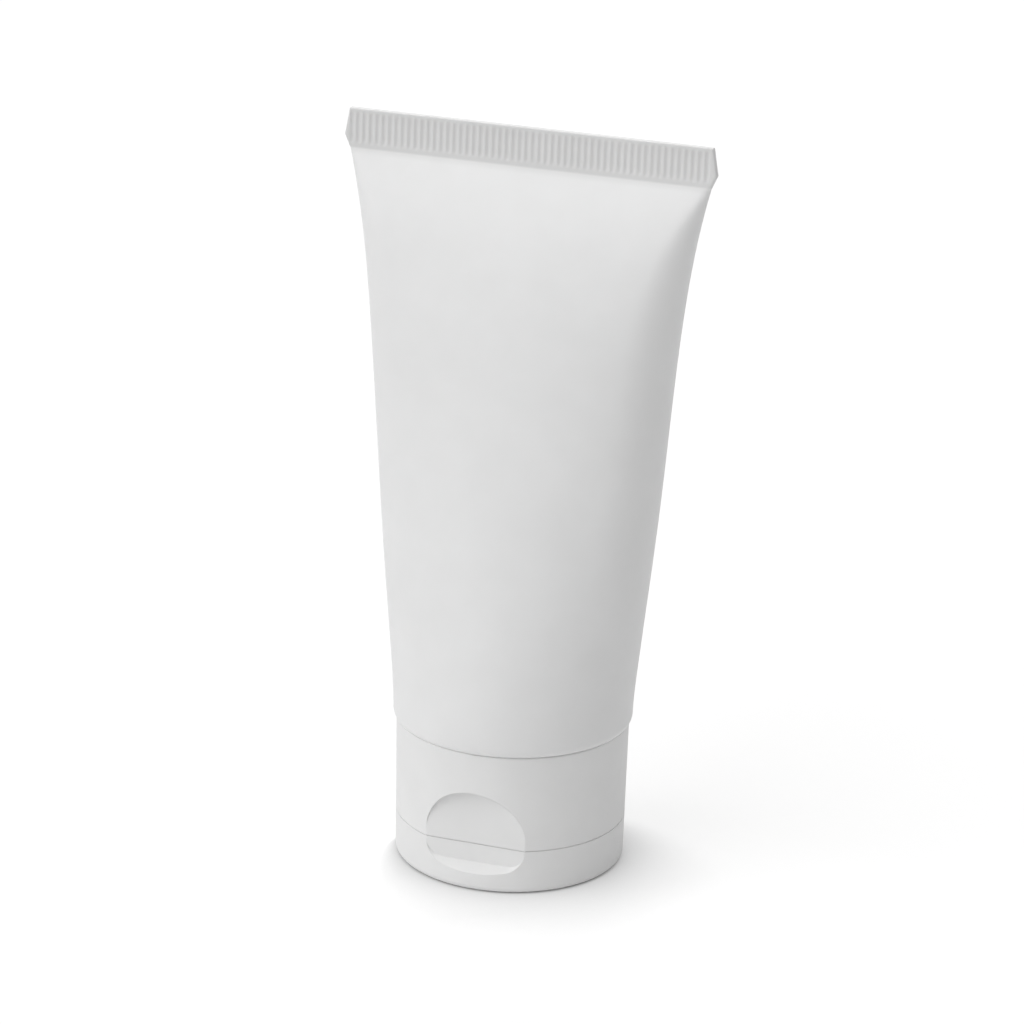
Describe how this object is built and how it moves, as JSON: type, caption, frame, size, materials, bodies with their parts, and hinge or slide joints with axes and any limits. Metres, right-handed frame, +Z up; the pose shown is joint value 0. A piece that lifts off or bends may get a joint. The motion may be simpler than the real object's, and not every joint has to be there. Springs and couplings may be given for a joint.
{
  "type": "denture adhesive tube",
  "caption": "Plain white squeeze tube of adhesive cream, standing on a flip-top cap with a hinged lid and thumb recess, closed by a flat ribbed seal.",
  "frame": {"origin": "middle of the lid's outer face, on the tube's axis, at the level of the surface that the tube stands on", "axes": "+Z up the tube from the cap to the seal, -Y out of the thumb recess, +Y towards the hinge, X along the seal"},
  "size_m": [0.0552, 0.035, 0.1093],
  "materials": {
    "sleeve_film": "satin white polyethylene film",
    "head_plastic": "satin natural white moulding",
    "cream": "soft pale pink cream",
    "cap_plastic": "fine satin white polypropylene"
  },
  "bodies": {
    "tube": {"tube_sleeve": "sleeve_film", "tube_head": "head_plastic", "adhesive_cream": "cream", "cap_base": "cap_plastic", "living_hinge": "cap_plastic"},
    "lid": {"flip_lid": "cap_plastic"}
  },
  "joints": [
    {"name": "lid_hinge", "type": "hinge", "parent": "tube", "child": "lid", "pos_m": [0, 0.01695, 0.0067], "axis": [1, 0, 0], "range_deg": [0, 175], "deforming": ["living_hinge"]}
  ]
}
